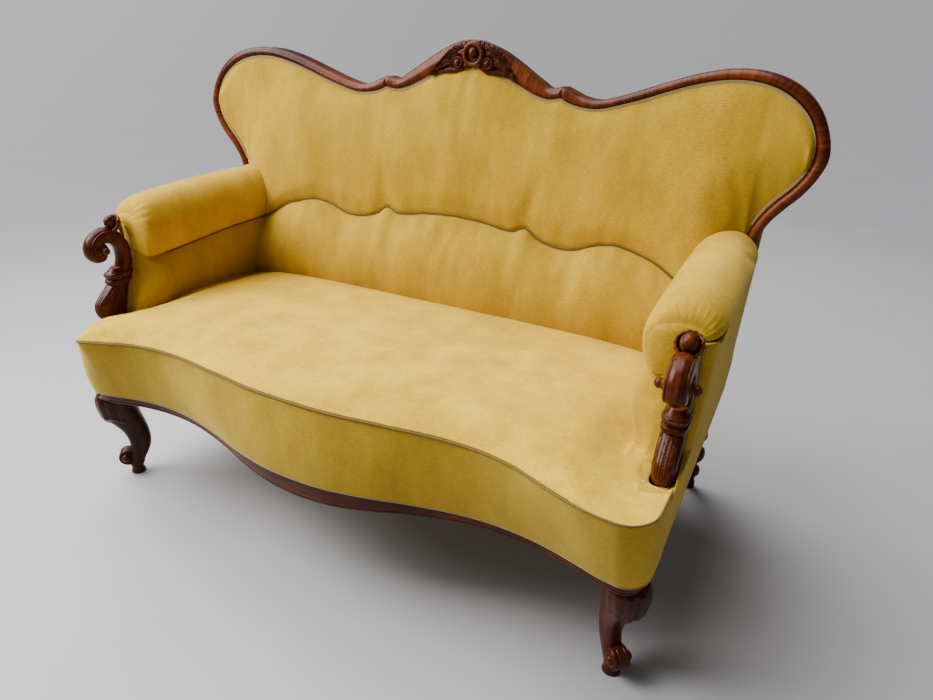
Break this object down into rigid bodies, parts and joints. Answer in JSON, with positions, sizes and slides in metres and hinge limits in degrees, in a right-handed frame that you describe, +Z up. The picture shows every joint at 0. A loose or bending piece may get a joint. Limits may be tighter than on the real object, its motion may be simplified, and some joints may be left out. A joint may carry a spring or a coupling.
{
  "type": "cabriole sofa",
  "caption": "Upholstered sofa with a serpentine front, a waved and lobed carved back frame, rolled arms with scroll facings and cabriole front legs.",
  "frame": {"origin": "on the floor, midway across the width and the depth of the sofa's box", "axes": "+X towards the right-hand arm as seen from the front, +Y towards the back, +Z up; the sofa faces -Y"},
  "size_m": [1.652, 0.8456, 1.066],
  "materials": {
    "walnut": "French-polished walnut veneer, glossy reddish brown",
    "carved_walnut": "carved solid walnut, polished, dark in the recesses",
    "beech": "plain unfinished beech of the inner frame",
    "velvet": "old-gold mohair velvet with fine ribs",
    "velvet_cord": "piping and twisted cord in the cover's colour",
    "linen": "jute webbing, canvas and stuffing cloth",
    "steel": "coppered spring wire"
  },
  "bodies": {
    "root": {"crest_frame": "walnut", "left_back_frame": "walnut", "right_back_frame": "walnut", "crest_carving": "carved_walnut", "front_rail": "walnut", "left_front_leg": "walnut", "right_front_leg": "walnut", "left_rear_leg": "walnut", "right_rear_leg": "walnut", "left_arm_facing": "carved_walnut", "right_arm_facing": "carved_walnut", "rear_seat_rail": "beech", "left_seat_rail": "beech", "right_seat_rail": "beech", "corner_blocks": "beech", "seat_cross_rail": "beech", "left_back_post": "beech", "right_back_post": "beech", "lower_back_rail": "beech", "back_slats": "beech", "left_arm_stump": "beech", "right_arm_stump": "beech", "left_arm_rail": "beech", "right_arm_rail": "beech", "left_tacking_rail": "beech", "right_tacking_rail": "beech", "seat_webbing": "linen", "seat_springs": "steel", "spring_canvas": "linen", "seat_stuffing": "linen", "seat_cushion": "velvet", "front_border": "velvet", "seat_piping": "velvet_cord", "border_cord": "velvet_cord", "upper_back_pad": "velvet", "lower_back_pad": "velvet", "back_seam_piping": "velvet_cord", "back_frame_cord": "velvet_cord", "back_canvas": "linen", "outside_back": "velvet", "left_arm_roll": "velvet", "right_arm_roll": "velvet", "left_inner_arm_pad": "velvet", "right_inner_arm_pad": "velvet", "left_arm_piping": "velvet_cord", "right_arm_piping": "velvet_cord", "left_facing_cord": "velvet_cord", "right_facing_cord": "velvet_cord", "left_outer_arm": "velvet", "right_outer_arm": "velvet", "bottom_cover": "linen"}
  },
  "joints": []
}
